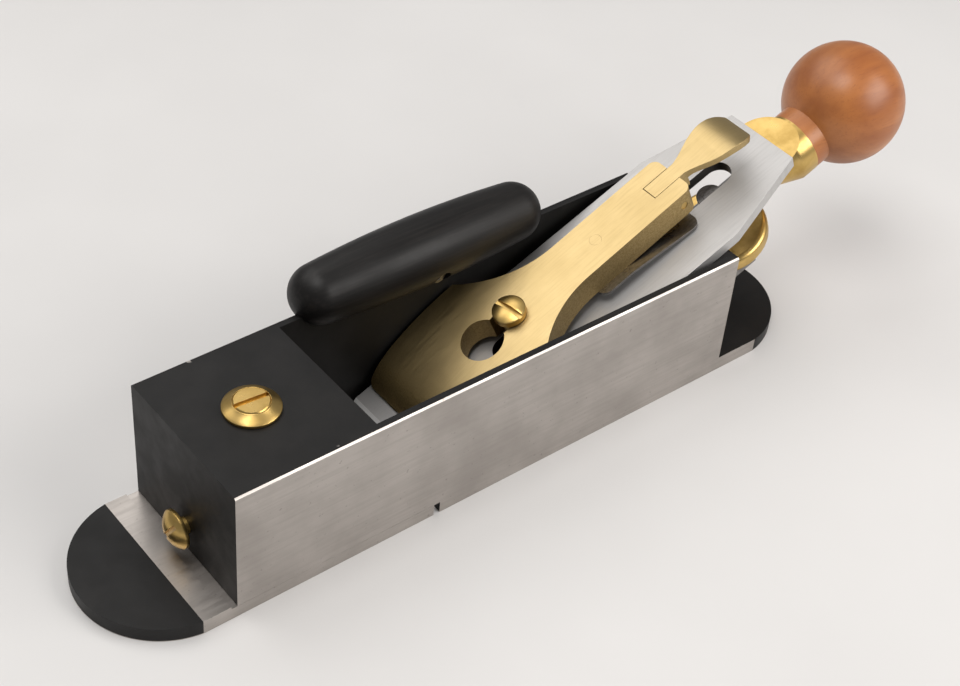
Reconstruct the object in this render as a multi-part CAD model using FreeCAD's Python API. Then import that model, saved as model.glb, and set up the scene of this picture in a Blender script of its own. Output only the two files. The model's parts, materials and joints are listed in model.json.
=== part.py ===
import FreeCAD, Part
import math
import os

# A box-sided iron mitre plane with a low bed, a bevel-up blade and an adjustable mouth.
# Millimetres. +X points to the toe, +Y to the plane's left side, +Z up.
# The origin is on the sole, at the middle of the body's length and width.

V = FreeCAD.Vector
X_AXIS, Y_AXIS, Z_AXIS = V(1, 0, 0), V(0, 1, 0), V(0, 0, 1)

# ---------------------------------------------------------------- driving dimensions
BODY_WIDTH = 61.0
BODY_HALF_LENGTH = 105.0
BODY_HEIGHT = 53.0
WALL = 3.0                    # thickness of the two side walls
EDGE_CHAMFER = 0.6            # ground chamfer along the top edges of the body
WELL_FRONT = 51.0             # rear face of the solid front block
MOUTH_X = 24.9                # where the bed meets the sole
MOUTH_GAP = 2.5               # from the bed to the rear edge of the toe plate
BED_ANGLE = 22.5              # degrees above the sole

PLATE_THICK = 5.6             # toe plate and heel, at the half-round ends
TOE_SEAT = 4.7                # height of the milled seat that slides under the body
TOE_SEAT_ROOM = 2.2           # seat in front of the body, so that the toe can close the mouth
TOE_SEAT_END = 109.5          # the seat stops here, in front of the body
TOE_SEAT_SIDE = 25.0          # and here, short of the left side
TOE_STRAIGHT = 117.5          # the parallel sides of the toe end here
HEEL_STRAIGHT = 123.8         # the parallel sides of the heel end here
END_RISE = 26.5               # how far each half-round end stands past its straight part
SLIDE_GAP = 0.1               # between the sliding seat and the body

TONGUE_REAR, TONGUE_FRONT = 58.0, 91.5
TONGUE_HALF = 8.0
TONGUE_TOP = 20.0
POCKET_REAR, POCKET_FRONT = 55.0, 99.0
POCKET_GAP = 0.2
LOCK_X = 79.5                 # axis of the toe lock screw
LOCK_SHANK = 3.0              # radius
LOCK_SLOT_TRAVEL = 8.8        # the toe's whole travel, with room
LOCK_HEAD = 6.1
LOCK_SCREW_FOOT = 9.0         # height of the screw's lower end
LOCK_HEAD_DEPTH = 2.6         # from the top of the head to its countersunk seat
WASHER_RADIUS = 9.7
WASHER_HEIGHT = 3.4
TOE_SCREW_Z = 15.0            # axis of the toe adjusting screw
TOE_SCREW_SHANK = 3.0
TOE_SCREW_TIP = 87.0          # where its thread ends in the tongue
TOE_SCREW_ROOM = 4.4          # hole past that end, for the toe's travel forwards
TOE_SCREW_HEAD = 7.0
TOE_SCREW_DOME = 4.6
TOE_SCREW_STAND = 2.6         # the head stands this far off the body's front
COLLAR_RADIUS = 5.0
COLLAR_THICK = 2.4

BLADE_WIDTH = 50.8
BLADE_THICK = 4.6
BLADE_SHOULDER = 145.0        # distances up the bed from the cutting edge
BLADE_LENGTH = 181.7
BLADE_END_HALF = 16.0
BLADE_CLEAR = 0.05            # the blade's film of clearance on the bed
BEVEL_LENGTH = 7.1
BLADE_SLOT_HALF = 5.2
BLADE_SLOT_START, BLADE_SLOT_END = 52.0, 164.3

CAP_NOSE = 13.5               # where the lever cap bears on the blade
CAP_TILT = 2.0                # degrees that the lever cap rises from the blade
CAP_LENGTH = 128.0
CAP_TOP = 13.4                # above the nose pad, in the cap's own frame
CAP_UNDER = 2.0
CAP_NOSE_HALF = 25.0
CAP_SHOULDER = 44.5           # where the widest part of the cap ends
CAP_SHOULDER_HALF = 26.0
CAP_SHANK = 78.5              # where the waist meets the parallel shank
CAP_SHANK_HALF = 9.8
KEY_HOLE_RADIUS = 8.0
KEY_SLOT_HALF = 4.1
KEY_SLOT_PAST = 0.7           # the slot runs past the upright screw, since the cap is tilted
CAP_SCREW_U = 63.3            # axis of the lever cap screw, up the bed from the edge
CAP_SCREW_SHANK = 3.8
CAP_SCREW_HEAD = 6.0
CAP_SCREW_DEPTH = 16.0        # thread below the bed
CAP_SCREW_LIFT = 2.15         # clears the tilted top of the cap under the screw's head
KEY_HOLE_X = 36.9             # centre of the large hole, in the cap's own frame

CAM_PIN_X, CAM_PIN_Z = 123.0, 7.5
CAM_PIN_RADIUS = 1.5
CAM_SLOT_HALF = 3.3
CAM_HALF = 3.1
CAM_SLOT_RADIUS = 9.0
CAM_RADIUS = 8.75
LOBE_RADIUS = 5.85
LOBE_DROP = 4.0
FAN_END = 159.0
FAN_TIP_HALF = 6.3
FAN_CURL = 144.5              # the tab is flat up to here and rolls down past it
FAN_THICK = 2.8
RIVET_X = 90.5
RIVET_RADIUS = 2.2
SPRING_START, SPRING_FOLD, SPRING_END = 80.0, 94.0, 126.0
SPRING_THICK = 1.2
SPRING_HALF = 13.0
SPRING_DROP = 5.0             # how far the free end hangs below the cap

ROD_DEPTH = 12.7              # tail rod axis below the bed plane
ROD_RADIUS = 6.0
ROD_START, ROD_SHOULDER, ROD_END = 86.0, 181.0, 212.0
ROD_TENON = 4.0               # radius of the thinner end inside ferrule and knob
WHEEL_U = 154.0
WHEEL_RADIUS = 18.9
WHEEL_TOP, WHEEL_THICK = -21.7, 7.0
WHEEL_ROUND = 2.4
HUB_RADIUS = 6.0
STEM_RADIUS = 2.5             # the adjuster screw
STEM_TOP, STEM_BOTTOM = -3.2, -43.0
NUT_MIDDLE = -34.5
LEVER_INNER, LEVER_OUTER = 8.0, 12.0
LEVER_REAR, LEVER_FRONT = 160.0, 118.0
PIVOT_U, PIVOT_H = 122.0, -22.5
PIVOT_RADIUS = 2.5
PIVOT_HALF = 18.8             # half the length of the pivot pin
GRUB_U = 100.0                # set screw that holds the tail rod
GRUB_RADIUS = 2.5
GRUB_SINK = 0.6               # below the bed's face
MECHANISM_START = 113.0       # front of the pocket that holds the adjuster
MECHANISM_HALF = 13.2
MECHANISM_FLOOR = 6.5

FERRULE_WAIST, FERRULE_END = 190.0, 196.0   # it starts at the rod's shoulder
FERRULE_START_RADIUS = 8.5
NECK_RADIUS = 12.2
PLATFORM_U = 182.3            # centre of the round platform under the blade's end
PLATFORM_RADIUS = 12.7
PLATFORM_FOOT_RADIUS = 10.0   # it narrows to this
PLATFORM_DEPTH = 6.0          # over this depth
PLATFORM_GAP = 0.15           # below the bed plane
BALL_U = 221.5
BALL_RADIUS = 23.1

HANDLE_REAR, HANDLE_FRONT = -60.4, 43.6
HANDLE_Y, HANDLE_Z = -31.0, 57.0
HANDLE_RADIUS = 12.5
HANDLE_NOSE = 10.8            # radius of the round ends
HANDLE_GROOVE_GAP = 0.15
GROOVE_TOP_GAP = 0.05
CLAMP_X, CLAMP_Z = -11.6, 50.6 # the set screw that clamps the handle to the wall
CLAMP_RADIUS = 2.0
INSERT_RADIUS = 3.2
INSERT_LENGTH = 4.4
CLAMP_LENGTH = 5.0            # recessed in the handle's inner face
CLAMP_SOCKET = 1.4

HALF_WIDTH = BODY_WIDTH / 2
INNER_HALF = HALF_WIDTH - WALL
TOE_PLATE_REAR = MOUTH_X + MOUTH_GAP
CLEAR = 0.3                   # general clearance round moving parts
DEEP = 400.0                  # longer than anything that it cuts
PAST = 1.0                    # cuts run past a face, and joined solids into each other, by this
FIT = 0.1                     # radial room of a shaft that turns
SLIP = 0.03                   # radial room of a pin or tenon that stays put
END_GAP = 0.2                 # at each end of a captive pin or collar
SCREW_SLOT = 1.7              # width of the screwdriver slots
LOCK_HEAD_PROUD = 0.3         # above the washer
LOCK_HEAD_BREAK = 0.4         # the broken edge of its head
LOCK_SLOT_DEPTH, LOCK_SLOT_TURN = 1.4, 175.0
WASHER_FIT = 0.05
WASHER_RIM = 1.2              # height of the washer's upright rim
WASHER_EDGE = 0.3
TOE_SCREW_SLOT_DEPTH, TOE_SCREW_SLOT_TURN = 1.8, 58.0
HEAD_RIM = 1.2                # upright rim under a domed crown
CAP_HEAD_HEIGHT, CAP_HEAD_RIM = 3.6, 2.3
CAP_SLOT_DEPTH, CAP_SLOT_TURN = 1.7, 99.0
GRUB_SLOT_DEPTH = 1.2
SEAT_CUTTER = 3.0             # radius that the cutter leaves at the seat's corner
NOTCH_HALF, NOTCH_DEPTH, NOTCH_ROOM = 1.8, 1.4, 0.5   # under the blade, for the lever's tips
CAP_CORNER, CAP_NOSE_ROUND, CAP_BULGE = 3.0, 2.5, 0.7
ARC_MIDDLE = 0.3              # a quarter round's middle, as a share of its radius
CAP_TIP = 1.4                 # height of the cap's front edge
CAP_BROW = [(5.5, 5.8), (14.0, 8.8), (27.0, 11.2), (42.0, 12.8)]
CAP_FLAT_START = 60.0
CAP_PAD, CAP_PAD_FRONT, CAP_HOLLOW = 5.0, 0.6, 10.0   # bearing pad, then the hollow underside
SPRING_CORNER = 4.0
RIVET_HEAD_WIDER, RIVET_HEAD = 1.4, 0.9
FAN_NECK = 130.5
FAN_SIDE = [(136.5, 5.2), (142.5, 7.6), (149.5, 8.8), (155.0, 8.3)]
CURL_TOP, CURL_TOP_Z = 153.5, 12.2      # a point on the rolled top face
CURL_UNDER, CURL_UNDER_Z = 151.5, 9.7   # and one under it
CURL_EDGE, CURL_EDGE_Z = 1.6, 8.9       # the rolled end's slanted edge and its height
FAN_ROOT = 133.5              # where the tab's underside meets the knuckle
KNUCKLE_DROP = 2.0            # the knuckle reaches this far below its pin
NUT_HALF, NUT_HALF_WIDTH, NUT_HALF_HEIGHT = 5.0, 7.4, 3.0
NUT_PIN, NUT_PIN_END, NUT_PIN_LENGTH = 1.5, 11.9, 5.0
LEVER_LOW, LEVER_SHELF = -39.0, -30.0
CHEEK_TOP, TIP_ROOT, TIP_TOP, TIP_HALF = -4.0, -2.0, 0.9, 1.4
CHEEK_WIDE, CHEEK_NECK = 9.0, 8.0       # width of each cheek below and at its top
WEB_THICK = 7.0
LEVER_SLOT_REAR, LEVER_SLOT_FRONT, LEVER_SLOT_HALF = 3.6, 2.0, 1.7
PIVOT_FIT = 0.04
INSERT_START = 0.6            # from the wall's inner face
CLAMP_SOCKET_HALF = 0.5


# ---------------------------------------------------------------- helpers
def box(x0, x1, y0, y1, z0, z1):
    return Part.makeBox(x1 - x0, y1 - y0, z1 - z0, V(x0, y0, z0))


def cylinder(radius, start, axis, length):
    return Part.makeCylinder(radius, length, start, axis)


def prism(points, half):
    """A closed XZ outline made solid from -half to +half across the width."""
    corners = [V(x, -half, z) for x, z in points]
    face = Part.Face(Part.makePolygon(corners + corners[:1]))
    return face.extrude(V(0, 2 * half, 0))


def turned(points, start, direction):
    """A (distance, radius) profile turned about an axis through start along +X or another axis."""
    corners = [V(a, 0, r) for a, r in points]
    face = Part.Face(Part.makePolygon(corners + corners[:1]))
    solid = face.revolve(V(0, 0, 0), X_AXIS, 360)
    solid.Placement = FreeCAD.Placement(start, FreeCAD.Rotation(X_AXIS, direction))
    return solid


def wire_solid(edges, lift):
    """A closed loop of edges made solid along the vector lift."""
    return Part.Face(Part.Wire(edges)).extrude(lift)


def arc(a, b, c):
    return Part.Arc(a, b, c).toShape()


def line(a, b):
    return Part.LineSegment(a, b).toShape()


def spline(points):
    curve = Part.BSplineCurve()
    curve.interpolate(points)
    return curve.toShape()


# The bed frame: x runs up the bed from the cutting edge, z stands off the bed.
BED = FreeCAD.Placement(
    V(MOUTH_X, 0, 0),
    FreeCAD.Rotation(Y_AXIS, BED_ANGLE).multiply(FreeCAD.Rotation(Z_AXIS, 180)))
# The cap frame: x runs along the lever cap from its nose, z off the blade's top face.
CAP = BED.multiply(FreeCAD.Placement(
    V(CAP_NOSE, 0, BLADE_THICK + 2 * BLADE_CLEAR), FreeCAD.Rotation(Y_AXIS, -CAP_TILT)))


def placed(shape, frame):
    """The shape carried from the bed or cap frame into the part's frame."""
    result = shape.copy()
    result.Placement = frame.multiply(result.Placement)
    return result


def bed_height(x):
    return (MOUTH_X - x) * math.tan(math.radians(BED_ANGLE))


def slot_across(top, depth, direction):
    """A screwdriver slot: a thin box of the given depth, cut across a head."""
    half = SCREW_SLOT / 2
    cut = box(-DEEP, DEEP, -half, half, -depth, PAST)
    cut.rotate(V(0, 0, 0), Z_AXIS, direction)
    cut.translate(V(0, 0, top))
    return cut


# ---------------------------------------------------------------- body and toe plate
def half_round(straight_x, sign):
    """The half-round end of the sole, past the straight sides at straight_x."""
    tip = V(sign * (straight_x + END_RISE), 0, 0)
    left = V(sign * straight_x, HALF_WIDTH, 0)
    right = V(sign * straight_x, -HALF_WIDTH, 0)
    return wire_solid([arc(left, tip, right), line(right, left)], V(0, 0, PLATE_THICK))


def chamfer_bar(x0, x1, y, z):
    """A long square bar on edge that takes a chamfer off an edge along X."""
    half = EDGE_CHAMFER / math.sqrt(2)
    bar = box(x0, x1, -half, half, -half, half)
    bar.rotate(V(0, 0, 0), X_AXIS, 45)
    bar.translate(V(0, y, z))
    return bar


def body():
    rear, front = -BODY_HALF_LENGTH, BODY_HALF_LENGTH
    iron = box(rear, front, -HALF_WIDTH, HALF_WIDTH, 0, BODY_HEIGHT)
    beyond = rear - PAST
    well = prism([(WELL_FRONT, BODY_HEIGHT + PAST), (WELL_FRONT, -PAST),
                  (MOUTH_X + PAST / math.tan(math.radians(BED_ANGLE)), -PAST),
                  (beyond, bed_height(beyond)), (beyond, BODY_HEIGHT + PAST)], INNER_HALF)
    iron = iron.cut(well)
    iron = iron.cut(box(MOUTH_X, front + PAST, -HALF_WIDTH - PAST, HALF_WIDTH + PAST,
                        -PAST, TOE_SEAT + SLIDE_GAP))
    heel = box(-HEEL_STRAIGHT, rear, -HALF_WIDTH, HALF_WIDTH, 0, PLATE_THICK)
    iron = iron.fuse([heel, half_round(HEEL_STRAIGHT, -1)])

    half = TONGUE_HALF + POCKET_GAP
    pocket = box(POCKET_REAR, POCKET_FRONT, -half, half, 0, TONGUE_TOP + POCKET_GAP)
    slot_half = LOCK_SHANK + CLEAR
    lock_slot = box(LOCK_X - LOCK_SLOT_TRAVEL / 2, LOCK_X + LOCK_SLOT_TRAVEL / 2,
                    -slot_half, slot_half, 0, BODY_HEIGHT + PAST)
    slot_ends = [cylinder(slot_half, V(LOCK_X + s * LOCK_SLOT_TRAVEL / 2, 0, 0), Z_AXIS,
                          BODY_HEIGHT + PAST) for s in (-1, 1)]
    screw_hole = cylinder(TOE_SCREW_SHANK + FIT, V(POCKET_FRONT - PAST, 0, TOE_SCREW_Z), X_AXIS, DEEP)
    iron = iron.cut([pocket, lock_slot, screw_hole] + slot_ends)

    cap_hole = cylinder(CAP_SCREW_SHANK, V(CAP_SCREW_U, 0, -CAP_SCREW_DEPTH - PAST), Z_AXIS, DEEP)
    rod_hole = cylinder(ROD_RADIUS + SLIP, V(ROD_START, 0, -ROD_DEPTH), X_AXIS, DEEP)
    pin_half = PIVOT_HALF + END_GAP
    pin_hole = cylinder(PIVOT_RADIUS + SLIP, V(PIVOT_U, -pin_half, PIVOT_H), Y_AXIS, 2 * pin_half)
    grub_hole = cylinder(GRUB_RADIUS + SLIP, V(GRUB_U, 0, -ROD_DEPTH), Z_AXIS, DEEP)
    mechanism = box(MECHANISM_START, DEEP, -MECHANISM_HALF, MECHANISM_HALF, -DEEP, DEEP)
    above_floor = box(-DEEP, DEEP, -DEEP, DEEP, MECHANISM_FLOOR, DEEP)
    cuts = [placed(s, BED) for s in (cap_hole, rod_hole, pin_hole, grub_hole)]
    cuts.append(placed(mechanism, BED).common(above_floor))
    iron = iron.cut(cuts)
    for side in (-HALF_WIDTH, HALF_WIDTH):
        iron = iron.cut(chamfer_bar(rear - PAST, front + PAST, side, BODY_HEIGHT))
    return iron.removeSplitter()


def toe_plate():
    front = TOE_STRAIGHT
    plate = box(TOE_PLATE_REAR, front, -HALF_WIDTH, HALF_WIDTH, 0, PLATE_THICK)
    plate = plate.fuse(half_round(TOE_STRAIGHT, 1))
    # the sliding seat, milled down from the full thickness, with a cutter's round corner
    radius = SEAT_CUTTER
    right = -HALF_WIDTH - PAST
    seat = box(0, BODY_HALF_LENGTH + TOE_SEAT_ROOM, right, -right, TOE_SEAT, DEEP)
    lip = box(BODY_HALF_LENGTH, TOE_SEAT_END - radius, right, TOE_SEAT_SIDE, TOE_SEAT, DEEP)
    edge = box(BODY_HALF_LENGTH, TOE_SEAT_END, right, TOE_SEAT_SIDE - radius, TOE_SEAT, DEEP)
    corner = cylinder(radius, V(TOE_SEAT_END - radius, TOE_SEAT_SIDE - radius, TOE_SEAT),
                      Z_AXIS, DEEP)
    plate = plate.cut([seat, lip, edge, corner])
    tongue = box(TONGUE_REAR, TONGUE_FRONT, -TONGUE_HALF, TONGUE_HALF, TOE_SEAT - PAST,
                 TONGUE_TOP)
    plate = plate.fuse(tongue)
    thread = cylinder(LOCK_SHANK, V(LOCK_X, 0, LOCK_SCREW_FOOT - PAST), Z_AXIS, DEEP)
    feed = cylinder(TOE_SCREW_SHANK, V(TOE_SCREW_TIP - TOE_SCREW_ROOM, 0, TOE_SCREW_Z), X_AXIS,
                    TONGUE_FRONT - TOE_SCREW_TIP + TOE_SCREW_ROOM + PAST)
    return plate.cut([thread, feed]).removeSplitter()


def toe_lock_screw():
    head_top = BODY_HEIGHT + WASHER_HEIGHT + LOCK_HEAD_PROUD
    head_low = head_top - LOCK_HEAD_DEPTH
    shank = cylinder(LOCK_SHANK, V(LOCK_X, 0, LOCK_SCREW_FOOT), Z_AXIS,
                     head_low - LOCK_SCREW_FOOT)
    cone = Part.makeCone(LOCK_SHANK, LOCK_HEAD, head_low - BODY_HEIGHT,
                         V(LOCK_X, 0, BODY_HEIGHT), Z_AXIS)
    rim = cylinder(LOCK_HEAD, V(LOCK_X, 0, head_low), Z_AXIS, LOCK_HEAD_DEPTH - LOCK_HEAD_BREAK)
    crown = Part.makeCone(LOCK_HEAD, LOCK_HEAD - LOCK_HEAD_BREAK, LOCK_HEAD_BREAK,
                          V(LOCK_X, 0, head_top - LOCK_HEAD_BREAK), Z_AXIS)
    slot = slot_across(head_top, LOCK_SLOT_DEPTH, LOCK_SLOT_TURN)
    slot.translate(V(LOCK_X, 0, 0))
    return shank.fuse([cone, rim, crown]).cut(slot).removeSplitter()


def toe_lock_washer():
    inner = LOCK_HEAD + WASHER_FIT
    seat = WASHER_HEIGHT + LOCK_HEAD_PROUD - LOCK_HEAD_DEPTH
    profile = [(0, LOCK_SHANK + CLEAR), (0, WASHER_RADIUS - WASHER_EDGE),
               (WASHER_EDGE, WASHER_RADIUS), (WASHER_RIM, WASHER_RADIUS),
               (WASHER_HEIGHT - WASHER_EDGE, inner + 2 * WASHER_EDGE),
               (WASHER_HEIGHT, inner + WASHER_EDGE), (WASHER_HEIGHT, inner), (seat, inner)]
    return turned(profile, V(LOCK_X, 0, BODY_HEIGHT), Z_AXIS)


def domed_head(radius, height, start, direction, flat):
    """A button head: a short rim, then a spherical crown."""
    crown = height - flat
    sphere_radius = (radius ** 2 + crown ** 2) / (2 * crown)
    rim = cylinder(radius, V(0, 0, 0), X_AXIS, flat)
    ball = Part.makeSphere(sphere_radius, V(height - sphere_radius, 0, 0))
    crown_solid = ball.common(cylinder(radius, V(flat, 0, 0), X_AXIS, height))
    head = rim.fuse(crown_solid)
    head.Placement = FreeCAD.Placement(start, FreeCAD.Rotation(X_AXIS, direction))
    return head


def toe_adjusting_screw():
    under_head = BODY_HALF_LENGTH + TOE_SCREW_STAND
    head = domed_head(TOE_SCREW_HEAD, TOE_SCREW_DOME, V(under_head, 0, TOE_SCREW_Z), X_AXIS,
                      HEAD_RIM)
    shank = cylinder(TOE_SCREW_SHANK, V(TOE_SCREW_TIP, 0, TOE_SCREW_Z), X_AXIS,
                     under_head - TOE_SCREW_TIP)
    half = SCREW_SLOT / 2
    slot = box(-TOE_SCREW_SLOT_DEPTH, PAST, -DEEP, DEEP, -half, half)
    slot.rotate(V(0, 0, 0), X_AXIS, TOE_SCREW_SLOT_TURN)
    slot.translate(V(under_head + TOE_SCREW_DOME, 0, TOE_SCREW_Z))
    return head.fuse(shank).cut(slot).removeSplitter()


def toe_screw_collar():
    ring = cylinder(COLLAR_RADIUS, V(POCKET_FRONT - COLLAR_THICK - END_GAP, 0, TOE_SCREW_Z),
                    X_AXIS, COLLAR_THICK)
    return ring.cut(cylinder(TOE_SCREW_SHANK + SLIP, V(0, 0, TOE_SCREW_Z), X_AXIS, DEEP))


# ---------------------------------------------------------------- blade
def blade():
    half = BLADE_WIDTH / 2
    outline = [V(0, -half, 0), V(BLADE_SHOULDER, -half, 0), V(BLADE_LENGTH, -BLADE_END_HALF, 0),
               V(BLADE_LENGTH, BLADE_END_HALF, 0), V(BLADE_SHOULDER, half, 0), V(0, half, 0)]
    steel = Part.Face(Part.makePolygon(outline + outline[:1])).extrude(V(0, 0, BLADE_THICK))
    rise = BLADE_THICK / BEVEL_LENGTH
    bevel = prism([(-PAST, -PAST * rise), (BEVEL_LENGTH + PAST, BLADE_THICK + PAST * rise),
                   (-PAST, BLADE_THICK + PAST * rise)], half + PAST)
    slot_start = BLADE_SLOT_START + BLADE_SLOT_HALF
    slot_end = BLADE_SLOT_END - BLADE_SLOT_HALF
    slot = box(slot_start, slot_end, -BLADE_SLOT_HALF, BLADE_SLOT_HALF, -PAST, DEEP)
    ends = [cylinder(BLADE_SLOT_HALF, V(x, 0, -PAST), Z_AXIS, DEEP)
            for x in (slot_start, slot_end)]
    notch_side = LEVER_OUTER + NOTCH_ROOM
    notch = box(PIVOT_U - NOTCH_HALF, PIVOT_U + NOTCH_HALF, -notch_side, notch_side,
                -PAST, NOTCH_DEPTH)
    steel = steel.cut([bevel, slot, notch] + ends)
    steel.translate(V(0, 0, BLADE_CLEAR))
    return placed(steel, BED)


# ---------------------------------------------------------------- lever cap
def cap_outline():
    """The cap seen from above: straight nose, full shoulders, hollow waist and parallel shank."""
    end = CAP_LENGTH
    corner = CAP_CORNER
    nose_round = CAP_NOSE_ROUND
    edges = []
    for side in (1, -1):
        nose = V(0, side * (CAP_NOSE_HALF - nose_round), 0)
        nose_mid = V(nose_round * ARC_MIDDLE, side * (CAP_NOSE_HALF - nose_round * ARC_MIDDLE), 0)
        flank = V(nose_round, side * CAP_NOSE_HALF, 0)
        middle = V(CAP_SHOULDER / 2, side * ((CAP_NOSE_HALF + CAP_SHOULDER_HALF) / 2 + CAP_BULGE),
                   0)
        shoulder = V(CAP_SHOULDER, side * CAP_SHOULDER_HALF, 0)
        waist = CAP_SHANK - CAP_SHOULDER
        fall = CAP_SHOULDER_HALF - CAP_SHANK_HALF
        radius = (waist ** 2 + fall ** 2) / (2 * fall)
        half_way = waist / 2
        dip = radius - math.sqrt(radius ** 2 - half_way ** 2)
        hollow = V(CAP_SHANK - half_way, side * (CAP_SHANK_HALF + dip), 0)
        shank = V(CAP_SHANK, side * CAP_SHANK_HALF, 0)
        tail = V(end - corner, side * CAP_SHANK_HALF, 0)
        turn = V(end - corner * ARC_MIDDLE, side * (CAP_SHANK_HALF - corner * ARC_MIDDLE), 0)
        square = V(end, side * (CAP_SHANK_HALF - corner), 0)
        edges += [arc(nose, nose_mid, flank), arc(flank, middle, shoulder),
                  arc(shoulder, hollow, shank), line(shank, tail), arc(tail, turn, square)]
    nose_half = CAP_NOSE_HALF - nose_round
    end_half = CAP_SHANK_HALF - corner
    edges += [line(V(0, nose_half, 0), V(0, -nose_half, 0)),
              line(V(end, end_half, 0), V(end, -end_half, 0))]
    ordered = Part.__sortEdges__(edges)
    return Part.Face(Part.Wire(ordered))


def cap_profile():
    """The cap seen from the side: thin nose, long convex brow, flat top and clear underside."""
    beyond = CAP_LENGTH + PAST
    flat_start = V(CAP_FLAT_START, 0, CAP_TOP)
    top = spline([V(0, 0, CAP_TIP)] + [V(x, 0, z) for x, z in CAP_BROW] + [flat_start])
    flat = line(flat_start, V(beyond, 0, CAP_TOP))
    end = line(V(beyond, 0, CAP_TOP), V(beyond, 0, CAP_UNDER))
    under = line(V(beyond, 0, CAP_UNDER), V(CAP_HOLLOW, 0, CAP_UNDER))
    rise = line(V(CAP_HOLLOW, 0, CAP_UNDER), V(CAP_PAD, 0, 0))
    pad = line(V(CAP_PAD, 0, 0), V(CAP_PAD_FRONT, 0, 0))
    tip = line(V(CAP_PAD_FRONT, 0, 0), V(0, 0, CAP_TIP))
    side = wire_solid([top, flat, end, under, rise, pad, tip], V(0, BODY_WIDTH, 0))
    side.translate(V(0, -HALF_WIDTH, 0))
    return side


def lever_cap():
    bronze = cap_profile().common(cap_outline().extrude(V(0, 0, DEEP)))
    slot_end = CAP_SCREW_U - CAP_NOSE + KEY_SLOT_PAST
    hole = cylinder(KEY_HOLE_RADIUS, V(KEY_HOLE_X, 0, -PAST), Z_AXIS, DEEP)
    neck = box(KEY_HOLE_X, slot_end, -KEY_SLOT_HALF, KEY_SLOT_HALF, -PAST, DEEP)
    neck_end = cylinder(KEY_SLOT_HALF, V(slot_end, 0, -PAST), Z_AXIS, DEEP)
    cam_slot = box(CAM_PIN_X, DEEP, -CAM_SLOT_HALF, CAM_SLOT_HALF, -PAST, DEEP)
    cam_round = cylinder(CAM_SLOT_RADIUS, V(CAM_PIN_X, -CAM_SLOT_HALF, CAM_PIN_Z),
                         Y_AXIS, 2 * CAM_SLOT_HALF)
    pin = cylinder(CAM_PIN_RADIUS, V(CAM_PIN_X, -DEEP, CAM_PIN_Z), Y_AXIS, 2 * DEEP)
    rivet = cylinder(RIVET_RADIUS + SLIP, V(RIVET_X, 0, -PAST), Z_AXIS, DEEP)
    bronze = bronze.cut([hole, neck, neck_end, cam_slot, cam_round, pin, rivet])
    return placed(bronze, CAP)


def lever_cap_screw():
    seat = BLADE_THICK + CAP_TOP + CAP_SCREW_LIFT
    head = domed_head(CAP_SCREW_HEAD, CAP_HEAD_HEIGHT, V(CAP_SCREW_U, 0, seat), Z_AXIS,
                      CAP_HEAD_RIM)
    shank = cylinder(CAP_SCREW_SHANK, V(CAP_SCREW_U, 0, -CAP_SCREW_DEPTH), Z_AXIS,
                     CAP_SCREW_DEPTH + seat)
    slot = slot_across(seat + CAP_HEAD_HEIGHT, CAP_SLOT_DEPTH, CAP_SLOT_TURN)
    slot.translate(V(CAP_SCREW_U, 0, 0))
    return placed(head.fuse(shank).cut(slot).removeSplitter(), BED)


def cap_spring():
    fall = SPRING_DROP
    top = CAP_UNDER
    sheet = prism([(SPRING_START, top), (SPRING_FOLD, top), (SPRING_END, top - fall),
                   (SPRING_END, top - fall - SPRING_THICK), (SPRING_FOLD, top - SPRING_THICK),
                   (SPRING_START, top - SPRING_THICK)], SPRING_HALF)
    upright = [e for e in sheet.Edges
               if abs(abs(e.tangentAt(e.FirstParameter).z) - 1) < 0.01]
    sheet = sheet.makeFillet(SPRING_CORNER, upright)
    sheet = sheet.cut(cylinder(RIVET_RADIUS + SLIP, V(RIVET_X, 0, -DEEP), Z_AXIS, 2 * DEEP))
    return placed(sheet, CAP)


def spring_rivet():
    low = CAP_UNDER - SPRING_THICK
    stem = cylinder(RIVET_RADIUS, V(RIVET_X, 0, low), Z_AXIS, CAP_TOP - low)
    head = cylinder(RIVET_RADIUS + RIVET_HEAD_WIDER, V(RIVET_X, 0, low - RIVET_HEAD), Z_AXIS,
                    RIVET_HEAD)
    return placed(stem.fuse(head).removeSplitter(), CAP)


def fan_outline():
    """The cam lever's finger tab seen from above."""
    edges = []
    for side in (1, -1):
        start = V(CAM_PIN_X, side * CAM_HALF, 0)
        neck = V(FAN_NECK, side * CAM_HALF, 0)
        edges.append(line(start, neck))
        swell = [V(x, side * y, 0) for x, y in FAN_SIDE]
        edges.append(spline([neck] + swell + [V(FAN_END, side * FAN_TIP_HALF, 0)]))
    edges += [line(V(CAM_PIN_X, CAM_HALF, 0), V(CAM_PIN_X, -CAM_HALF, 0)),
              line(V(FAN_END, FAN_TIP_HALF, 0), V(FAN_END, -FAN_TIP_HALF, 0))]
    return Part.Face(Part.Wire(Part.__sortEdges__(edges)))


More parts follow.
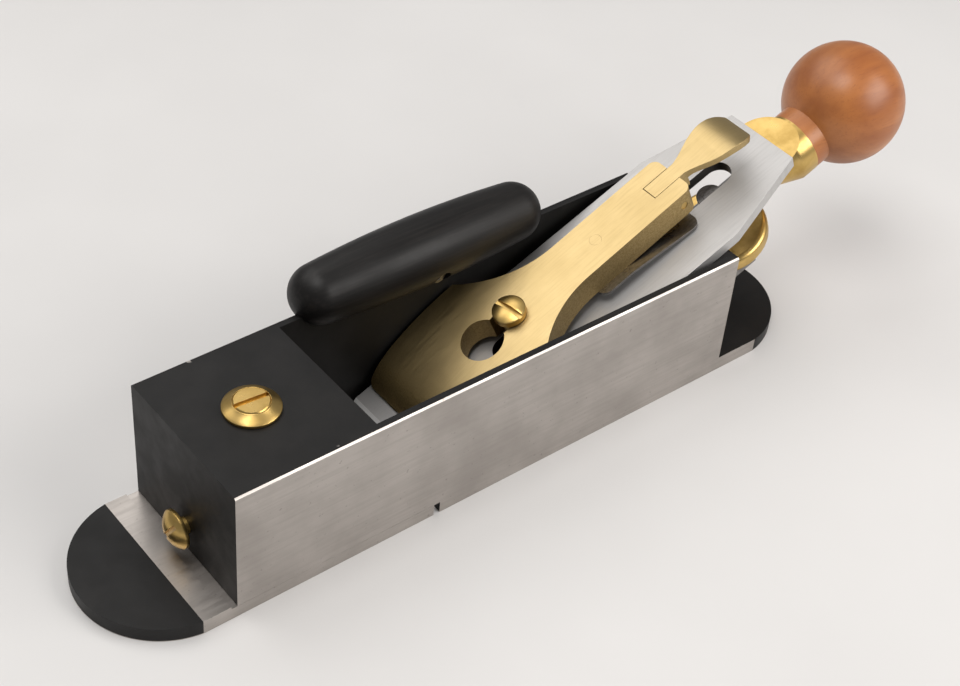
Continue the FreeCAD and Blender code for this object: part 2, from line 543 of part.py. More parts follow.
def cam_lever():
    knuckle = cylinder(CAM_RADIUS, V(CAM_PIN_X, -CAM_HALF, CAM_PIN_Z), Y_AXIS, 2 * CAM_HALF)
    knuckle = knuckle.common(box(0, DEEP, -CAM_HALF, CAM_HALF, CAM_PIN_Z - KNUCKLE_DROP,
                                 CAP_TOP))
    lobe = cylinder(LOBE_RADIUS, V(CAM_PIN_X, -CAM_HALF, CAM_PIN_Z - LOBE_DROP),
                    Y_AXIS, 2 * CAM_HALF)
    curl = FAN_CURL
    under = CAP_TOP - FAN_THICK
    lip = V(FAN_END, 0, CURL_EDGE_Z)
    lip_under = V(FAN_END - CURL_EDGE, 0, CURL_EDGE_Z - CURL_EDGE)
    edges = [line(V(CAM_PIN_X, 0, CAP_TOP), V(curl, 0, CAP_TOP)),
             arc(V(curl, 0, CAP_TOP), V(CURL_TOP, 0, CURL_TOP_Z), lip),
             line(lip, lip_under),
             arc(lip_under, V(CURL_UNDER, 0, CURL_UNDER_Z), V(curl, 0, under)),
             line(V(curl, 0, under), V(FAN_ROOT, 0, under)),
             line(V(FAN_ROOT, 0, under), V(CAM_PIN_X, 0, CAM_PIN_Z)),
             line(V(CAM_PIN_X, 0, CAM_PIN_Z), V(CAM_PIN_X, 0, CAP_TOP))]
    tab = wire_solid(edges, V(0, BODY_WIDTH, 0))
    tab.translate(V(0, -HALF_WIDTH, 0))
    tab = tab.common(fan_outline().extrude(V(0, 0, DEEP)))
    pin = cylinder(CAM_PIN_RADIUS, V(CAM_PIN_X, -DEEP, CAM_PIN_Z), Y_AXIS, 2 * DEEP)
    return placed(tab.fuse([knuckle, lobe]).cut(pin).removeSplitter(), CAP)


def cam_pin():
    half = CAP_SHANK_HALF - END_GAP
    return placed(cylinder(CAM_PIN_RADIUS - SLIP, V(CAM_PIN_X, -half, CAM_PIN_Z), Y_AXIS,
                           2 * half), CAP)


# ---------------------------------------------------------------- depth adjuster
def tail_rod():
    bar = cylinder(ROD_RADIUS, V(ROD_START, 0, -ROD_DEPTH), X_AXIS, ROD_SHOULDER - ROD_START)
    tenon = cylinder(ROD_TENON, V(ROD_SHOULDER, 0, -ROD_DEPTH), X_AXIS, ROD_END - ROD_SHOULDER)
    stem = cylinder(STEM_RADIUS + FIT, V(WHEEL_U, 0, -DEEP), Z_AXIS, 2 * DEEP)
    return placed(bar.fuse(tenon).cut(stem).removeSplitter(), BED)


def rod_grub_screw():
    top = -ROD_DEPTH + ROD_RADIUS
    screw = cylinder(GRUB_RADIUS, V(GRUB_U, 0, top), Z_AXIS, -top - GRUB_SINK)
    slot = slot_across(-GRUB_SINK, GRUB_SLOT_DEPTH, 0)
    slot.translate(V(GRUB_U, 0, 0))
    return placed(screw.cut(slot), BED)


def adjuster_wheel():
    hub_top = -ROD_DEPTH - ROD_RADIUS - CLEAR
    disc = cylinder(WHEEL_RADIUS, V(0, 0, WHEEL_TOP - WHEEL_THICK), Z_AXIS, WHEEL_THICK)
    rims = [e for e in disc.Edges if e.Curve.TypeId.endswith("Circle")]
    disc = disc.makeFillet(WHEEL_ROUND, rims)
    hub = cylinder(HUB_RADIUS, V(0, 0, WHEEL_TOP - PAST), Z_AXIS, hub_top - WHEEL_TOP + PAST)
    brass = disc.fuse(hub).cut(cylinder(STEM_RADIUS + SLIP, V(0, 0, -DEEP), Z_AXIS, 2 * DEEP))
    brass.translate(V(WHEEL_U, 0, 0))
    return placed(brass.removeSplitter(), BED)


def adjuster_screw():
    return placed(cylinder(STEM_RADIUS, V(WHEEL_U, 0, STEM_BOTTOM), Z_AXIS,
                           STEM_TOP - STEM_BOTTOM), BED)


def adjuster_collar():
    low = -ROD_DEPTH + ROD_RADIUS + END_GAP
    ring = cylinder(COLLAR_RADIUS, V(WHEEL_U, 0, low), Z_AXIS, STEM_TOP - low)
    return placed(ring.cut(cylinder(STEM_RADIUS + SLIP, V(WHEEL_U, 0, -DEEP), Z_AXIS, 2 * DEEP)),
                  BED)


def adjuster_nut():
    block = box(WHEEL_U - NUT_HALF, WHEEL_U + NUT_HALF, -NUT_HALF_WIDTH, NUT_HALF_WIDTH,
                NUT_MIDDLE - NUT_HALF_HEIGHT, NUT_MIDDLE + NUT_HALF_HEIGHT)
    pins = [cylinder(NUT_PIN, V(WHEEL_U, y, NUT_MIDDLE), Y_AXIS, NUT_PIN_LENGTH)
            for y in (-NUT_PIN_END, NUT_PIN_END - NUT_PIN_LENGTH)]
    bore = cylinder(STEM_RADIUS + SLIP, V(WHEEL_U, 0, -DEEP), Z_AXIS, 2 * DEEP)
    nut = block.fuse(pins).cut(bore)
    return placed(nut.removeSplitter(), BED)


def adjuster_lever():
    front, shelf = LEVER_FRONT, LEVER_SHELF
    cheek_points = [(front, LEVER_LOW), (LEVER_REAR, LEVER_LOW), (LEVER_REAR, shelf),
                    (front + CHEEK_WIDE, shelf), (front + CHEEK_NECK, CHEEK_TOP),
                    (PIVOT_U + TIP_HALF, TIP_ROOT), (PIVOT_U + TIP_HALF, TIP_TOP),
                    (PIVOT_U - TIP_HALF, TIP_TOP), (PIVOT_U - TIP_HALF, TIP_ROOT),
                    (front, CHEEK_TOP)]
    cheeks = []
    middle = (LEVER_INNER + LEVER_OUTER) / 2
    half = (LEVER_OUTER - LEVER_INNER) / 2
    for side in (-1, 1):
        cheek = prism(cheek_points, half)
        cheek.translate(V(0, side * middle, 0))
        cheeks.append(cheek)
    web = box(front, front + WEB_THICK, -middle, middle, LEVER_LOW, shelf - PAST)
    yoke = cheeks[0].fuse([cheeks[1], web])
    pin = cylinder(PIVOT_RADIUS + PIVOT_FIT, V(PIVOT_U, -DEEP, PIVOT_H), Y_AXIS, 2 * DEEP)
    slot = box(WHEEL_U - LEVER_SLOT_FRONT, WHEEL_U + LEVER_SLOT_REAR, -DEEP, DEEP,
               NUT_MIDDLE - LEVER_SLOT_HALF, NUT_MIDDLE + LEVER_SLOT_HALF)
    return placed(yoke.cut([pin, slot]).removeSplitter(), BED)


def lever_pivot_pin():
    return placed(cylinder(PIVOT_RADIUS, V(PIVOT_U, -PIVOT_HALF, PIVOT_H), Y_AXIS,
                           2 * PIVOT_HALF), BED)


# ---------------------------------------------------------------- tail knob
def knob_ferrule():
    """A turned collar for the knob's neck, with a round platform level with the bed."""
    profile = [(ROD_SHOULDER, ROD_TENON), (ROD_SHOULDER, FERRULE_START_RADIUS),
               (FERRULE_WAIST, NECK_RADIUS), (FERRULE_END, NECK_RADIUS),
               (FERRULE_END, ROD_TENON)]
    collar = turned(profile, V(0, 0, -ROD_DEPTH), X_AXIS)
    platform = Part.makeCone(PLATFORM_FOOT_RADIUS, PLATFORM_RADIUS, PLATFORM_DEPTH,
                             V(PLATFORM_U, 0, -PLATFORM_DEPTH - PLATFORM_GAP), Z_AXIS)
    rod = cylinder(ROD_RADIUS + SLIP, V(0, 0, -ROD_DEPTH), X_AXIS, ROD_SHOULDER)
    tenon = cylinder(ROD_TENON + SLIP, V(0, 0, -ROD_DEPTH), X_AXIS, DEEP)
    above = box(0, DEEP, -DEEP, DEEP, -PLATFORM_GAP, DEEP)
    return placed(collar.fuse(platform).cut([rod, tenon, above]).removeSplitter(), BED)


def ball_knob():
    neck = cylinder(NECK_RADIUS - FIT, V(FERRULE_END, 0, -ROD_DEPTH), X_AXIS,
                    BALL_U - FERRULE_END)
    ball = Part.makeSphere(BALL_RADIUS, V(BALL_U, 0, -ROD_DEPTH), X_AXIS)
    bore = cylinder(ROD_TENON + SLIP, V(0, 0, -ROD_DEPTH), X_AXIS, ROD_END + PAST)
    return placed(ball.fuse(neck).cut(bore).removeSplitter(), BED)


# ---------------------------------------------------------------- side handle
def side_handle():
    """A turned bar, barrelled between two round noses and grooved to sit over the right wall."""
    middle = (HANDLE_REAR + HANDLE_FRONT) / 2
    reach = (HANDLE_FRONT - HANDLE_REAR) / 2 - HANDLE_NOSE
    # the barrel's radius makes its arc tangent to both nose arcs
    barrel = ((reach ** 2 + HANDLE_RADIUS ** 2 - HANDLE_NOSE ** 2)
              / (2 * (HANDLE_RADIUS - HANDLE_NOSE)))
    lean = math.asin(reach / (barrel - HANDLE_NOSE))
    half_way = (lean + math.pi / 2) / 2

    def on_nose(side, angle):
        return V(middle + side * (reach + HANDLE_NOSE * math.sin(angle)), 0,
                 HANDLE_NOSE * math.cos(angle))

    tips = [V(HANDLE_REAR, 0, 0), V(HANDLE_FRONT, 0, 0)]
    edges = [arc(tips[0], on_nose(-1, half_way), on_nose(-1, lean)),
             arc(on_nose(-1, lean), V(middle, 0, HANDLE_RADIUS), on_nose(1, lean)),
             arc(on_nose(1, lean), on_nose(1, half_way), tips[1]),
             line(tips[1], tips[0])]
    wood = Part.Face(Part.Wire(edges)).revolve(V(0, 0, 0), X_AXIS, 360)
    wood.translate(V(0, HANDLE_Y, HANDLE_Z))
    groove = box(-DEEP, DEEP, -HALF_WIDTH - HANDLE_GROOVE_GAP, -INNER_HALF + HANDLE_GROOVE_GAP,
                 -DEEP, BODY_HEIGHT + GROOVE_TOP_GAP)
    hole = cylinder(INSERT_RADIUS, V(CLAMP_X, -INNER_HALF, CLAMP_Z), Y_AXIS, DEEP)
    return wood.cut([groove, hole])


def clamp_insert():
    start = -INNER_HALF + INSERT_START
    sleeve = cylinder(INSERT_RADIUS, V(CLAMP_X, start, CLAMP_Z), Y_AXIS, INSERT_LENGTH)
    return sleeve.cut(cylinder(CLAMP_RADIUS, V(CLAMP_X, -DEEP, CLAMP_Z), Y_AXIS, DEEP))


def clamp_screw():
    start = -INNER_HALF + SLIP
    screw = cylinder(CLAMP_RADIUS - SLIP, V(CLAMP_X, start, CLAMP_Z), Y_AXIS, CLAMP_LENGTH)
    socket = box(CLAMP_X - CLAMP_SOCKET_HALF, CLAMP_X + CLAMP_SOCKET_HALF,
                 start + CLAMP_LENGTH - CLAMP_SOCKET, 0, 0, DEEP)
    return screw.cut(socket)


PARTS = [body, toe_plate, toe_lock_screw, toe_lock_washer, toe_adjusting_screw,
         toe_screw_collar, blade, lever_cap, lever_cap_screw, cap_spring, spring_rivet,
         cam_lever, cam_pin, tail_rod, rod_grub_screw, adjuster_wheel, adjuster_screw,
         adjuster_collar, adjuster_nut, adjuster_lever, lever_pivot_pin, knob_ferrule,
         ball_knob, side_handle, clamp_insert, clamp_screw]

os.makedirs("parts", exist_ok=True)
for make in PARTS:
    shape = make()
    print(make.__name__, shape.isValid(), len(shape.Solids), round(shape.Volume, 1))
    shape.exportStep("parts/" + make.__name__ + ".step")
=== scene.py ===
import json
import math
import bpy
from mathutils import Matrix, Vector


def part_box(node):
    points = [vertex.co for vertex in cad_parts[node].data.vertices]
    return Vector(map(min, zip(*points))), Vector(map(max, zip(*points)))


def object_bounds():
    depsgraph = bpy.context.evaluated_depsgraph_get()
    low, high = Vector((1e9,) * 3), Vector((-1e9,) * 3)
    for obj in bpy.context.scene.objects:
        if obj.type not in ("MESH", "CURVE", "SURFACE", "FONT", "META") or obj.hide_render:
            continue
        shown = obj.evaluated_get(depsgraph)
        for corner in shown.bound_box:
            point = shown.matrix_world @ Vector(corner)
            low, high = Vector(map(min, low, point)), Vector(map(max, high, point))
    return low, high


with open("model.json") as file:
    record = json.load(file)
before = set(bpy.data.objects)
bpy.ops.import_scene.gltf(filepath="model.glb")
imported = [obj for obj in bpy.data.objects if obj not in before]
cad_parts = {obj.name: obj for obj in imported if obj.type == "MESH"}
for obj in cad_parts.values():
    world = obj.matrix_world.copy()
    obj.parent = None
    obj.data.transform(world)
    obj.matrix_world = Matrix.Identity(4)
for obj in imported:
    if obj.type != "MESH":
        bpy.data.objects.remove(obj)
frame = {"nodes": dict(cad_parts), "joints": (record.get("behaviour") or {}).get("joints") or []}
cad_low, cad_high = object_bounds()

# A hand plane in metres: +X to the toe, +Y to the plane's left side, +Z up from the sole.
NODES = frame["nodes"]
MM = 0.001
SKIN = 0.3 * MM                # what counts as on a face
END_ROUND = 26.5 * MM          # length of the half-round toe and heel ends
CHAMFER = 1.2 * MM             # the walls' top edges, inwards from their outsides

# ------------------------------------------------------------ places taken from the frame
BODY_LOW, BODY_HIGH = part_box("body")
_, TOE_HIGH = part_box("toe_plate")
BODY_FRONT = BODY_HIGH.x
WALL_OUTER = BODY_HIGH.y
BODY_TOP = BODY_HIGH.z
JOINTS = {joint["name"]: joint for joint in frame["joints"]}
BED_UP = Vector(JOINTS["blade_slide"]["axis"])       # up the bed from the cutting edge
BED_OUT = Vector(JOINTS["cap_screw_turn"]["axis"])   # off the bed's face
BEVEL_TILT = math.radians(33.0)     # the cutting bevel, from the bed
BEVEL_OUT = (BED_OUT * math.cos(BEVEL_TILT) - BED_UP * math.sin(BEVEL_TILT)).normalized()
CAP_TILT = math.radians(2.0)
CAP_OUT = (BED_OUT * math.cos(CAP_TILT) - BED_UP * math.sin(CAP_TILT)).normalized()


# ------------------------------------------------------------ node helpers
class Nodes:
    """A material's node tree with short calls for the nodes that every finish here uses."""

    def __init__(self, name):
        self.material = bpy.data.materials.new(name)
        self.material.use_nodes = True
        self.tree = self.material.node_tree
        self.shader = self.tree.nodes["Principled BSDF"]
        self.coords = self.tree.nodes.new("ShaderNodeTexCoord")

    def link(self, source, target):
        self.tree.links.new(source, target)

    def feed(self, value, target):
        """A socket is linked, and anything else is set as the target's own value."""
        if isinstance(value, bpy.types.NodeSocket):
            self.link(value, target)
        else:
            target.default_value = value

    def set(self, **values):
        """Values that are the same all over the surface."""
        names = {"metallic": "Metallic", "specular": "Specular IOR Level",
                 "coat": "Coat Weight", "coat_roughness": "Coat Roughness"}
        for key, value in values.items():
            self.shader.inputs[names[key]].default_value = value

    def math(self, kind, a, b=0.0):
        node = self.tree.nodes.new("ShaderNodeMath")
        node.operation = kind
        self.feed(a, node.inputs[0])
        self.feed(b, node.inputs[1])
        return node.outputs[0]

    def dot(self, vector, direction):
        node = self.tree.nodes.new("ShaderNodeVectorMath")
        node.operation = "DOT_PRODUCT"
        self.link(vector, node.inputs[0])
        node.inputs[1].default_value = direction
        return node.outputs["Value"]

    def place(self):
        """The x, y and z of the surface point, in metres."""
        split = self.tree.nodes.new("ShaderNodeSeparateXYZ")
        self.link(self.coords.outputs["Object"], split.inputs[0])
        return split.outputs[0], split.outputs[1], split.outputs[2]

    def normal(self):
        return self.coords.outputs["Normal"]

    def ramp(self, value, low, high, start=0.0, end=1.0):
        """value going smoothly from start to end between low and high."""
        node = self.tree.nodes.new("ShaderNodeMapRange")
        node.interpolation_type = "SMOOTHSTEP"
        self.feed(value, node.inputs["Value"])
        for name, number in (("From Min", low), ("From Max", high),
                             ("To Min", start), ("To Max", end)):
            node.inputs[name].default_value = number
        return node.outputs["Result"]

    def noise(self, scale, detail=4.0, rough=0.55, stretch=(1, 1, 1), rotation=(0, 0, 0)):
        """Noise over the object; scale is in features a metre, stretched along the axes."""
        mapping = self.tree.nodes.new("ShaderNodeMapping")
        mapping.inputs["Rotation"].default_value = rotation
        mapping.inputs["Scale"].default_value = stretch
        self.link(self.coords.outputs["Object"], mapping.inputs["Vector"])
        node = self.tree.nodes.new("ShaderNodeTexNoise")
        node.inputs["Scale"].default_value = scale
        node.inputs["Detail"].default_value = detail
        node.inputs["Roughness"].default_value = rough
        self.link(mapping.outputs[0], node.inputs["Vector"])
        return node.outputs["Fac"]

    def mix(self, factor, a, b):
        """A colour between a and b."""
        node = self.tree.nodes.new("ShaderNodeMix")
        node.data_type = "RGBA"
        self.feed(factor, node.inputs["Factor"])
        for value, target in ((a, node.inputs["A"]), (b, node.inputs["B"])):
            if isinstance(value, bpy.types.NodeSocket):
                self.link(value, target)
            else:
                target.default_value = (*value, 1.0)
        return node.outputs["Result"]

    def blend(self, factor, a, b):
        """A number between a and b."""
        node = self.tree.nodes.new("ShaderNodeMix")
        node.data_type = "FLOAT"
        self.feed(factor, node.inputs["Factor"])
        self.feed(a, node.inputs["A"])
        self.feed(b, node.inputs["B"])
        return node.outputs["Result"]

    def bump(self, height, depth, strength=1.0):
        """Relief of the given depth in metres; strength may vary over the surface."""
        node = self.tree.nodes.new("ShaderNodeBump")
        node.inputs["Distance"].default_value = depth
        self.feed(strength, node.inputs["Strength"])
        self.feed(height, node.inputs["Height"])
        self.link(node.outputs[0], self.shader.inputs["Normal"])

    def finish(self, colour, roughness):
        self.feed(colour, self.shader.inputs["Base Color"])
        self.feed(roughness, self.shader.inputs["Roughness"])
        return self.material


# ------------------------------------------------------------ finishes
# Colours are linear red, green and blue.
GROUND, GROUND_DARK = (0.50, 0.465, 0.435), (0.385, 0.355, 0.33)
GROUND_SPECK = (0.20, 0.18, 0.165)
PAINT, PAINT_WORN = (0.0080, 0.0076, 0.0074), (0.0120, 0.0112, 0.0108)
BLADE, BLADE_CLOUD, BLADE_GRAIN = (0.56, 0.55, 0.54), (0.50, 0.49, 0.48), (0.42, 0.41, 0.40)
# The blade's slot colour is painted shade on the walls of the blade's slot.
BLADE_BEVEL, BLADE_SLOT_SHADE = (0.80, 0.79, 0.78), (0.035, 0.032, 0.030)
BRONZE, BRONZE_CLOUD = (0.60, 0.455, 0.225), (0.53, 0.395, 0.185)
BRONZE_LINES = (0.43, 0.315, 0.145)
# The cast bronze colours are darker partly as painted shade on faces turned away from the cap's
# top.
BRONZE_CAST_SHADED, BRONZE_CAST_SHADED_DARK = (0.47, 0.345, 0.155), (0.34, 0.24, 0.10)
BRASS, BRASS_CLOUD = (0.64, 0.44, 0.155), (0.49, 0.32, 0.095)
SPRING, SPRING_DARK = (0.24, 0.23, 0.225), (0.16, 0.155, 0.15)
STEEL, STEEL_DARK = (0.30, 0.29, 0.28), (0.20, 0.19, 0.185)
CHERRY, CHERRY_BAND = (0.47, 0.165, 0.042), (0.33, 0.100, 0.024)
CHERRY_FIBRE, CHERRY_CLOUD = (0.24, 0.064, 0.018), (0.55, 0.235, 0.075)
EBONY, EBONY_FIBRE = (0.0075, 0.0068, 0.0064), (0.015, 0.013, 0.012)
EBONY_CLOUD = (0.021, 0.018, 0.016)
FLOOR, FLOOR_MOTTLE = (0.70, 0.69, 0.68), (0.73, 0.72, 0.71)

LEFT = (0, 1, 0)
FLAT_OUT = 0.9                 # how squarely a face must look sideways to be a wall
SLANT_OUT = 0.3                # and to be a wall's chamfer
CHIP_EDGE = (2.2 * MM, 0.6 * MM)       # chips fade in here, inwards from a wall's outside
CHIP_TOP = (1.2 * MM, 0.2 * MM)        # and here, down from the top
CHIP_END = (85 * MM, 60 * MM)          # and here, back from the body's front
SLOT_SIDE = (5.6 * MM, 6.2 * MM)       # just past half the width of the blade's slot
HONED = 0.03 * MM              # relief of ground steel
TURNED = 0.04 * MM
WOODEN = 0.05 * MM
PAINTED = 0.06 * MM
SAND_CAST = 0.08 * MM


def painted_iron(name, ground_mask):
    """Satin black paint, with bright ground iron wherever ground_mask(nodes) is 1."""
    n = Nodes(name)
    n.set(specular=0.28)
    bare = ground_mask(n)
    grain = n.noise(900, 3.0, 0.6, stretch=(0.035, 1, 1))
    blotch = n.noise(34, 5.0)
    fine = n.noise(2600, 2.0)
    iron = n.mix(n.ramp(blotch, 0.35, 0.7), GROUND, GROUND_DARK)
    iron = n.mix(n.ramp(grain, 0.35, 0.75, 0.0, 0.35), iron, GROUND_DARK)
    specks = n.ramp(n.noise(520, 2.0, 0.7), 0.66, 0.74, 0.0, 0.45)
    iron = n.mix(specks, iron, GROUND_SPECK)
    paint = n.mix(n.ramp(n.noise(60, 4.0), 0.4, 0.75), PAINT, PAINT_WORN)
    colour = n.mix(bare, paint, iron)
    iron_rough = n.ramp(grain, 0.2, 0.8, 0.33, 0.47)
    paint_rough = n.ramp(n.noise(110, 4.0), 0.3, 0.7, 0.46, 0.56)
    n.link(bare, n.shader.inputs["Metallic"])
    n.bump(n.blend(bare, fine, grain), PAINTED, n.blend(bare, 0.35, 0.16))
    return n.finish(colour, n.blend(bare, paint_rough, iron_rough))


def body_mask(n):
    """The walls' outsides and chamfers up to the round heel, the sole and a few chips."""
    x, y, z = n.place()
    across = n.math("ABSOLUTE", y)
    facing = n.math("ABSOLUTE", n.dot(n.normal(), LEFT))
    wall = n.math("MULTIPLY", n.math("GREATER_THAN", across, WALL_OUTER - SKIN),
                  n.math("GREATER_THAN", facing, FLAT_OUT))
    edge = n.math("MULTIPLY", n.math("GREATER_THAN", across, WALL_OUTER - CHAMFER),
                  n.math("GREATER_THAN", facing, SLANT_OUT))
    ahead_of_heel = n.math("GREATER_THAN", x, BODY_LOW.x + END_ROUND)
    sole = n.math("LESS_THAN", z, SKIN)
    bright = n.math("MULTIPLY", n.math("MAXIMUM", wall, edge), ahead_of_heel)
    bright = n.math("MAXIMUM", bright, sole)
    beside = n.ramp(across, WALL_OUTER - CHIP_EDGE[0], WALL_OUTER - CHIP_EDGE[1])
    near_top = n.ramp(z, BODY_TOP - CHIP_TOP[0], BODY_TOP - CHIP_TOP[1])
    near_edge = n.math("MULTIPLY", beside, near_top)
    front_only = n.ramp(x, BODY_FRONT - CHIP_END[0], BODY_FRONT - CHIP_END[1])
    chips = n.ramp(n.noise(140, 2.0, 0.7), 0.66, 0.68)
    chips = n.math("MULTIPLY", n.math("MULTIPLY", chips, near_edge), front_only)
    return n.math("MAXIMUM", bright, chips)


def toe_mask(n):
    """The toe's parallel part and its sole are bare, and the half-round past it is painted."""
    x, _, z = n.place()
    return n.math("MAXIMUM", n.math("LESS_THAN", x, TOE_HIGH.x - END_ROUND),
                  n.math("LESS_THAN", z, SKIN))


def blade_steel():
    """Surface-ground steel, with a coarser and paler grind on the bevel and the slot's walls
    painted dark as shade.
    """
    n = Nodes("blade_steel")
    grain = n.noise(1500, 3.0, 0.6, stretch=(0.05, 1, 0.05))
    bevel = n.ramp(n.dot(n.normal(), BEVEL_OUT), 0.95, 0.99)
    _, y, _ = n.place()
    upright = n.ramp(n.math("ABSOLUTE", n.dot(n.normal(), BED_OUT)), 0.3, 0.6, 1.0, 0.0)
    inside = n.ramp(n.math("ABSOLUTE", y), SLOT_SIDE[0], SLOT_SIDE[1], 1.0, 0.0)
    # painted shade: the slot's upright walls are coloured near-black
    slot_shade = n.math("MULTIPLY", upright, inside)
    cloud = n.noise(26, 4.0)
    colour = n.mix(n.ramp(cloud, 0.3, 0.75), BLADE, BLADE_CLOUD)
    colour = n.mix(n.ramp(grain, 0.4, 0.8, 0.0, 0.3), colour, BLADE_GRAIN)
    colour = n.mix(bevel, colour, BLADE_BEVEL)
    colour = n.mix(slot_shade, colour, BLADE_SLOT_SHADE)
    n.link(n.blend(bevel, 0.62, 0.05), n.shader.inputs["Metallic"])
    n.bump(grain, HONED, 0.25)
    return n.finish(colour, n.blend(bevel, n.ramp(grain, 0.2, 0.8, 0.44, 0.56), 0.6))


def cap_bronze(name, cast_shaded_brow=True):
    """Linished on the flat top, as cast on the brow and the flanks, whose darker colour is partly
    painted shade; for the cam, faces turned from the top get up to half of this darker cast
    finish.
    """
    n = Nodes(name)
    n.set(metallic=1.0)
    up = n.dot(n.normal(), CAP_OUT)
    # partly painted shade: faces turned away from the cap's top get the darker cast colour, on
    # the cam up to half of it
    cast_and_shade = n.ramp(up, 0.90, 0.995, 1.0, 0.0) if cast_shaded_brow else n.ramp(up, 0.2, 0.6, 0.5, 0.0)
    lines = n.noise(1900, 3.0, 0.6, stretch=(0.05, 1, 0.05))
    sand = n.noise(1500, 6.0, 0.7)
    cloud = n.noise(45, 5.0)
    smooth = n.mix(n.ramp(cloud, 0.3, 0.75), BRONZE, BRONZE_CLOUD)
    smooth = n.mix(n.ramp(lines, 0.4, 0.8, 0.0, 0.3), smooth, BRONZE_LINES)
    # the cast colour, darker than the linished one, is partly painted shade
    rough = n.mix(n.ramp(sand, 0.35, 0.7), BRONZE_CAST_SHADED, BRONZE_CAST_SHADED_DARK)
    n.bump(n.blend(cast_and_shade, lines, sand), SAND_CAST, n.blend(cast_and_shade, 0.14, 0.75))
    return n.finish(n.mix(cast_and_shade, smooth, rough),
                    n.blend(cast_and_shade, n.ramp(lines, 0.2, 0.8, 0.33, 0.45),
                            n.ramp(sand, 0.3, 0.7, 0.42, 0.56)))


def turned_brass(name):
    """Brass with fine tool marks and a light tarnish."""
    n = Nodes(name)
    n.set(metallic=1.0)
    rings = n.noise(2300, 2.0, 0.5)
    cloud = n.noise(120, 5.0, 0.6)
    colour = n.mix(n.ramp(cloud, 0.35, 0.75), BRASS, BRASS_CLOUD)
    n.bump(rings, TURNED, 0.15)
    return n.finish(colour, n.ramp(cloud, 0.3, 0.75, 0.27, 0.40))


def steel(name, light, dark, low, high):
    """Plain steel between two shades, its roughness between low and high."""
    n = Nodes(name)
    n.set(metallic=1.0)
    grain = n.noise(1400, 3.0, 0.6, stretch=(0.2, 1, 1))
    n.bump(grain, HONED, 0.15)
    return n.finish(n.mix(n.ramp(grain, 0.3, 0.75), light, dark),
                    n.ramp(n.noise(90, 4.0), 0.3, 0.7, low, high))


def cherry_wood():
    """Reddish cherry: growth bands along the knob's axis, short darker pores and a soft sheen."""
    n = Nodes("cherry")
    n.set(coat=0.22, coat_roughness=0.28)
    tilt = (0, -math.asin(BED_UP.z), 0)
    bands = n.noise(95, 4.0, 0.55, stretch=(0.16, 1, 1), rotation=tilt)
    fibres = n.noise(1300, 3.0, 0.6, stretch=(0.05, 1, 1), rotation=tilt)
    cloud = n.noise(38, 4.0)
    colour = n.mix(n.ramp(bands, 0.3, 0.7), CHERRY, CHERRY_BAND)
    colour = n.mix(n.ramp(fibres, 0.52, 0.8, 0.0, 0.5), colour, CHERRY_FIBRE)
    colour = n.mix(n.ramp(cloud, 0.4, 0.8, 0.0, 0.35), colour, CHERRY_CLOUD)
    n.bump(fibres, WOODEN, 0.16)
    return n.finish(colour, n.ramp(bands, 0.3, 0.7, 0.36, 0.46))


def ebony_wood():
    """Near-black wood with faint fibres along the handle."""
    n = Nodes("ebony")
    n.set(specular=0.28)
    fibres = n.noise(900, 4.0, 0.6, stretch=(0.04, 1, 1))
    cloud = n.noise(40, 4.0)
    colour = n.mix(n.ramp(fibres, 0.4, 0.75), EBONY, EBONY_FIBRE)
    colour = n.mix(n.ramp(cloud, 0.5, 0.85, 0.0, 0.4), colour, EBONY_CLOUD)
    n.bump(fibres, WOODEN, 0.22)
    return n.finish(colour, n.ramp(cloud, 0.3, 0.7, 0.40, 0.52))


# ------------------------------------------------------------ dressing the CAD nodes
SEAM = 0.002 * MM              # points closer than this are one
SHARP = math.radians(32)       # edges sharper than this are rounded
CRISP, TOE_EDGE, MACHINED = 0.10 * MM, 0.12 * MM, 0.15 * MM     # widths of the rounding
CAM_EDGE, HANDLE_EDGE, BROAD = 0.20 * MM, 0.25 * MM, 0.30 * MM


def soften(node, width):
    """Welds the imported seams and rounds the sharp edges a little, so that they catch light."""
    weld = node.modifiers.new("weld", "WELD")
    weld.merge_threshold = SEAM
    bevel = node.modifiers.new("edges", "BEVEL")
    bevel.width = width
    bevel.segments = 2
    bevel.limit_method = "ANGLE"
    bevel.angle_limit = SHARP
    bevel.harden_normals = True
    bevel.use_clamp_overlap = True
    even = node.modifiers.new("normals", "WEIGHTED_NORMAL")
    even.mode = "FACE_AREA_WITH_ANGLE"
    even.keep_sharp = False


def dress(material, width, *names):
    """Puts one finish on the named nodes, with their edges rounded by width if it isn't 0."""
    for name in names:
        node = NODES[name]
        node.data.materials.clear()
        node.data.materials.append(material)
        if width:
            soften(node, width)


dress(painted_iron("iron_body", body_mask), MACHINED, "body")
dress(painted_iron("iron_toe", toe_mask), TOE_EDGE, "toe_plate")
dress(blade_steel(), MACHINED, "blade")
dress(cap_bronze("cap_bronze"), BROAD, "lever_cap")
dress(cap_bronze("cam_bronze", cast_shaded_brow=False), CAM_EDGE, "cam_lever", "spring_rivet")
dress(turned_brass("turned_brass"), MACHINED, "toe_lock_screw", "toe_lock_washer",
      "toe_adjusting_screw", "lever_cap_screw", "adjuster_wheel", "knob_ferrule",
      "cam_pin")
dress(steel("spring_steel", SPRING, SPRING_DARK, 0.24, 0.36), BROAD,
      "cap_spring")
dress(steel("dark_steel", STEEL, STEEL_DARK, 0.30, 0.45), CRISP,
      "toe_screw_collar", "tail_rod", "rod_grub_screw", "adjuster_screw", "adjuster_lever",
      "lever_pivot_pin", "clamp_screw", "clamp_insert", "adjuster_collar", "adjuster_nut")
dress(cherry_wood(), 0, "ball_knob")
dress(ebony_wood(), HANDLE_EDGE, "side_handle")


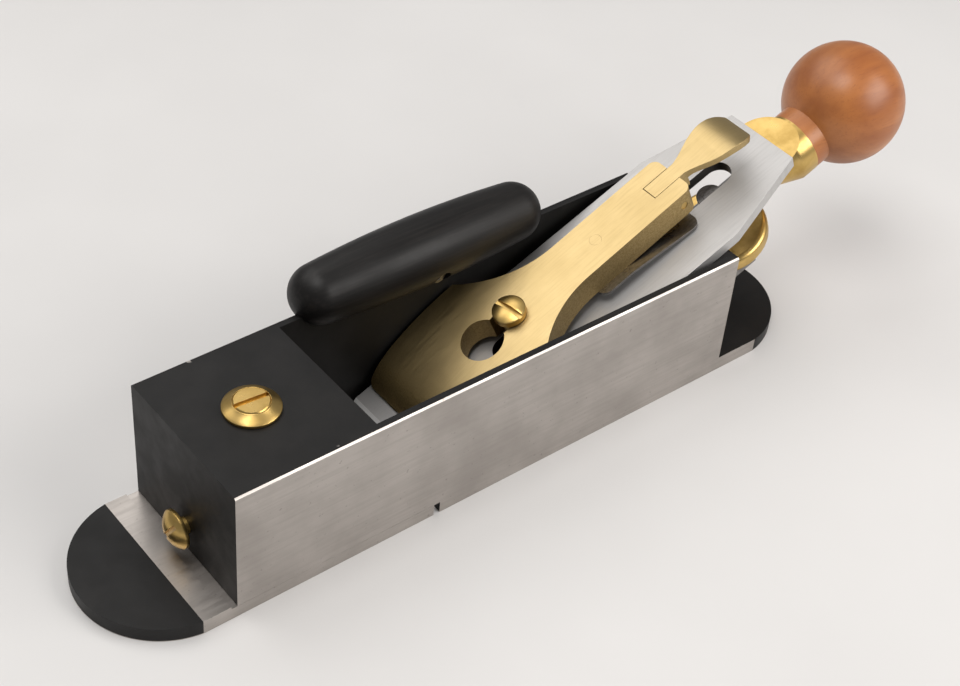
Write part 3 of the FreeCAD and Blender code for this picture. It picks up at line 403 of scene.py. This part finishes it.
# ------------------------------------------------------------ floor, light and camera
FLOOR_HALF = 4.0
FLOOR_GAP = 0.02 * MM          # below the sole, so that the two faces don't meet
FLOOR_ROUGH = 0.65
MIDDLE = (-0.02, 0.0, 0.03)    # what the lamps point at
WARM, SIDE_WARM, TOP_WARM = (1.0, 0.975, 0.95), (1.0, 0.97, 0.94), (1.0, 0.98, 0.96)
LAMPS = [                      # name, place, width and height, watts, colour
    ("key", (0.15, -0.75, 1.10), (1.3, 1.0), 7.0, WARM),
    ("side", (-0.60, 0.80, 0.70), (0.9, 0.6), 9.0, SIDE_WARM),
    ("top", (0.28, 0.06, 1.25), (0.6, 0.6), 6.0, TOP_WARM)]
SKY, SKY_STRENGTH = (0.86, 0.86, 0.87, 1), 0.30
CAMERA_PLACE = (0.30782, 0.36059, 0.45729)
CAMERA_RIGHT = (-0.78480, 0.61564, 0.07123)
CAMERA_UP = (-0.36518, -0.55223, 0.74946)
LENS, SENSOR = 69.71, 36.0     # millimetres


def floor():
    n = Nodes("floor")
    mottle = n.noise(7, 3.0)
    colour = n.mix(n.ramp(mottle, 0.3, 0.7), FLOOR, FLOOR_MOTTLE)
    half = FLOOR_HALF
    mesh = bpy.data.meshes.new("floor")
    mesh.from_pydata([(-half, -half, 0), (half, -half, 0), (half, half, 0), (-half, half, 0)],
                     [], [(0, 1, 2, 3)])
    mesh.materials.append(n.finish(colour, FLOOR_ROUGH))
    plane = bpy.data.objects.new("floor", mesh)
    plane.location.z = cad_low[2] - FLOOR_GAP
    bpy.context.scene.collection.objects.link(plane)


def softbox(name, where, size, power, tint):
    light = bpy.data.lights.new(name, "AREA")
    light.shape = "RECTANGLE"
    light.size, light.size_y = size
    light.energy = power
    light.color = tint
    lamp = bpy.data.objects.new(name, light)
    lamp.location = where
    aim = Vector(MIDDLE) - Vector(where)
    lamp.rotation_euler = aim.to_track_quat("-Z", "Y").to_euler()
    bpy.context.scene.collection.objects.link(lamp)


def sky():
    world = bpy.data.worlds.new("studio")
    bpy.context.scene.world = world
    world.use_nodes = True
    background = world.node_tree.nodes["Background"]
    background.inputs["Color"].default_value = SKY
    background.inputs["Strength"].default_value = SKY_STRENGTH
    bpy.context.scene.view_settings.view_transform = "Standard"


def camera():
    """Looks down on the toe and the left side, as in a catalogue view from the front corner."""
    right, up = Vector(CAMERA_RIGHT), Vector(CAMERA_UP)
    back = right.cross(up).normalized()
    data = bpy.data.cameras.new("camera")
    data.lens = LENS
    data.sensor_width = SENSOR
    view = bpy.data.objects.new("camera", data)
    turn = Matrix((right, up, back)).transposed().to_4x4()
    view.matrix_world = Matrix.Translation(CAMERA_PLACE) @ turn
    bpy.context.scene.collection.objects.link(view)
    bpy.context.scene.camera = view


floor()
for lamp in LAMPS:
    softbox(*lamp)
sky()
camera()
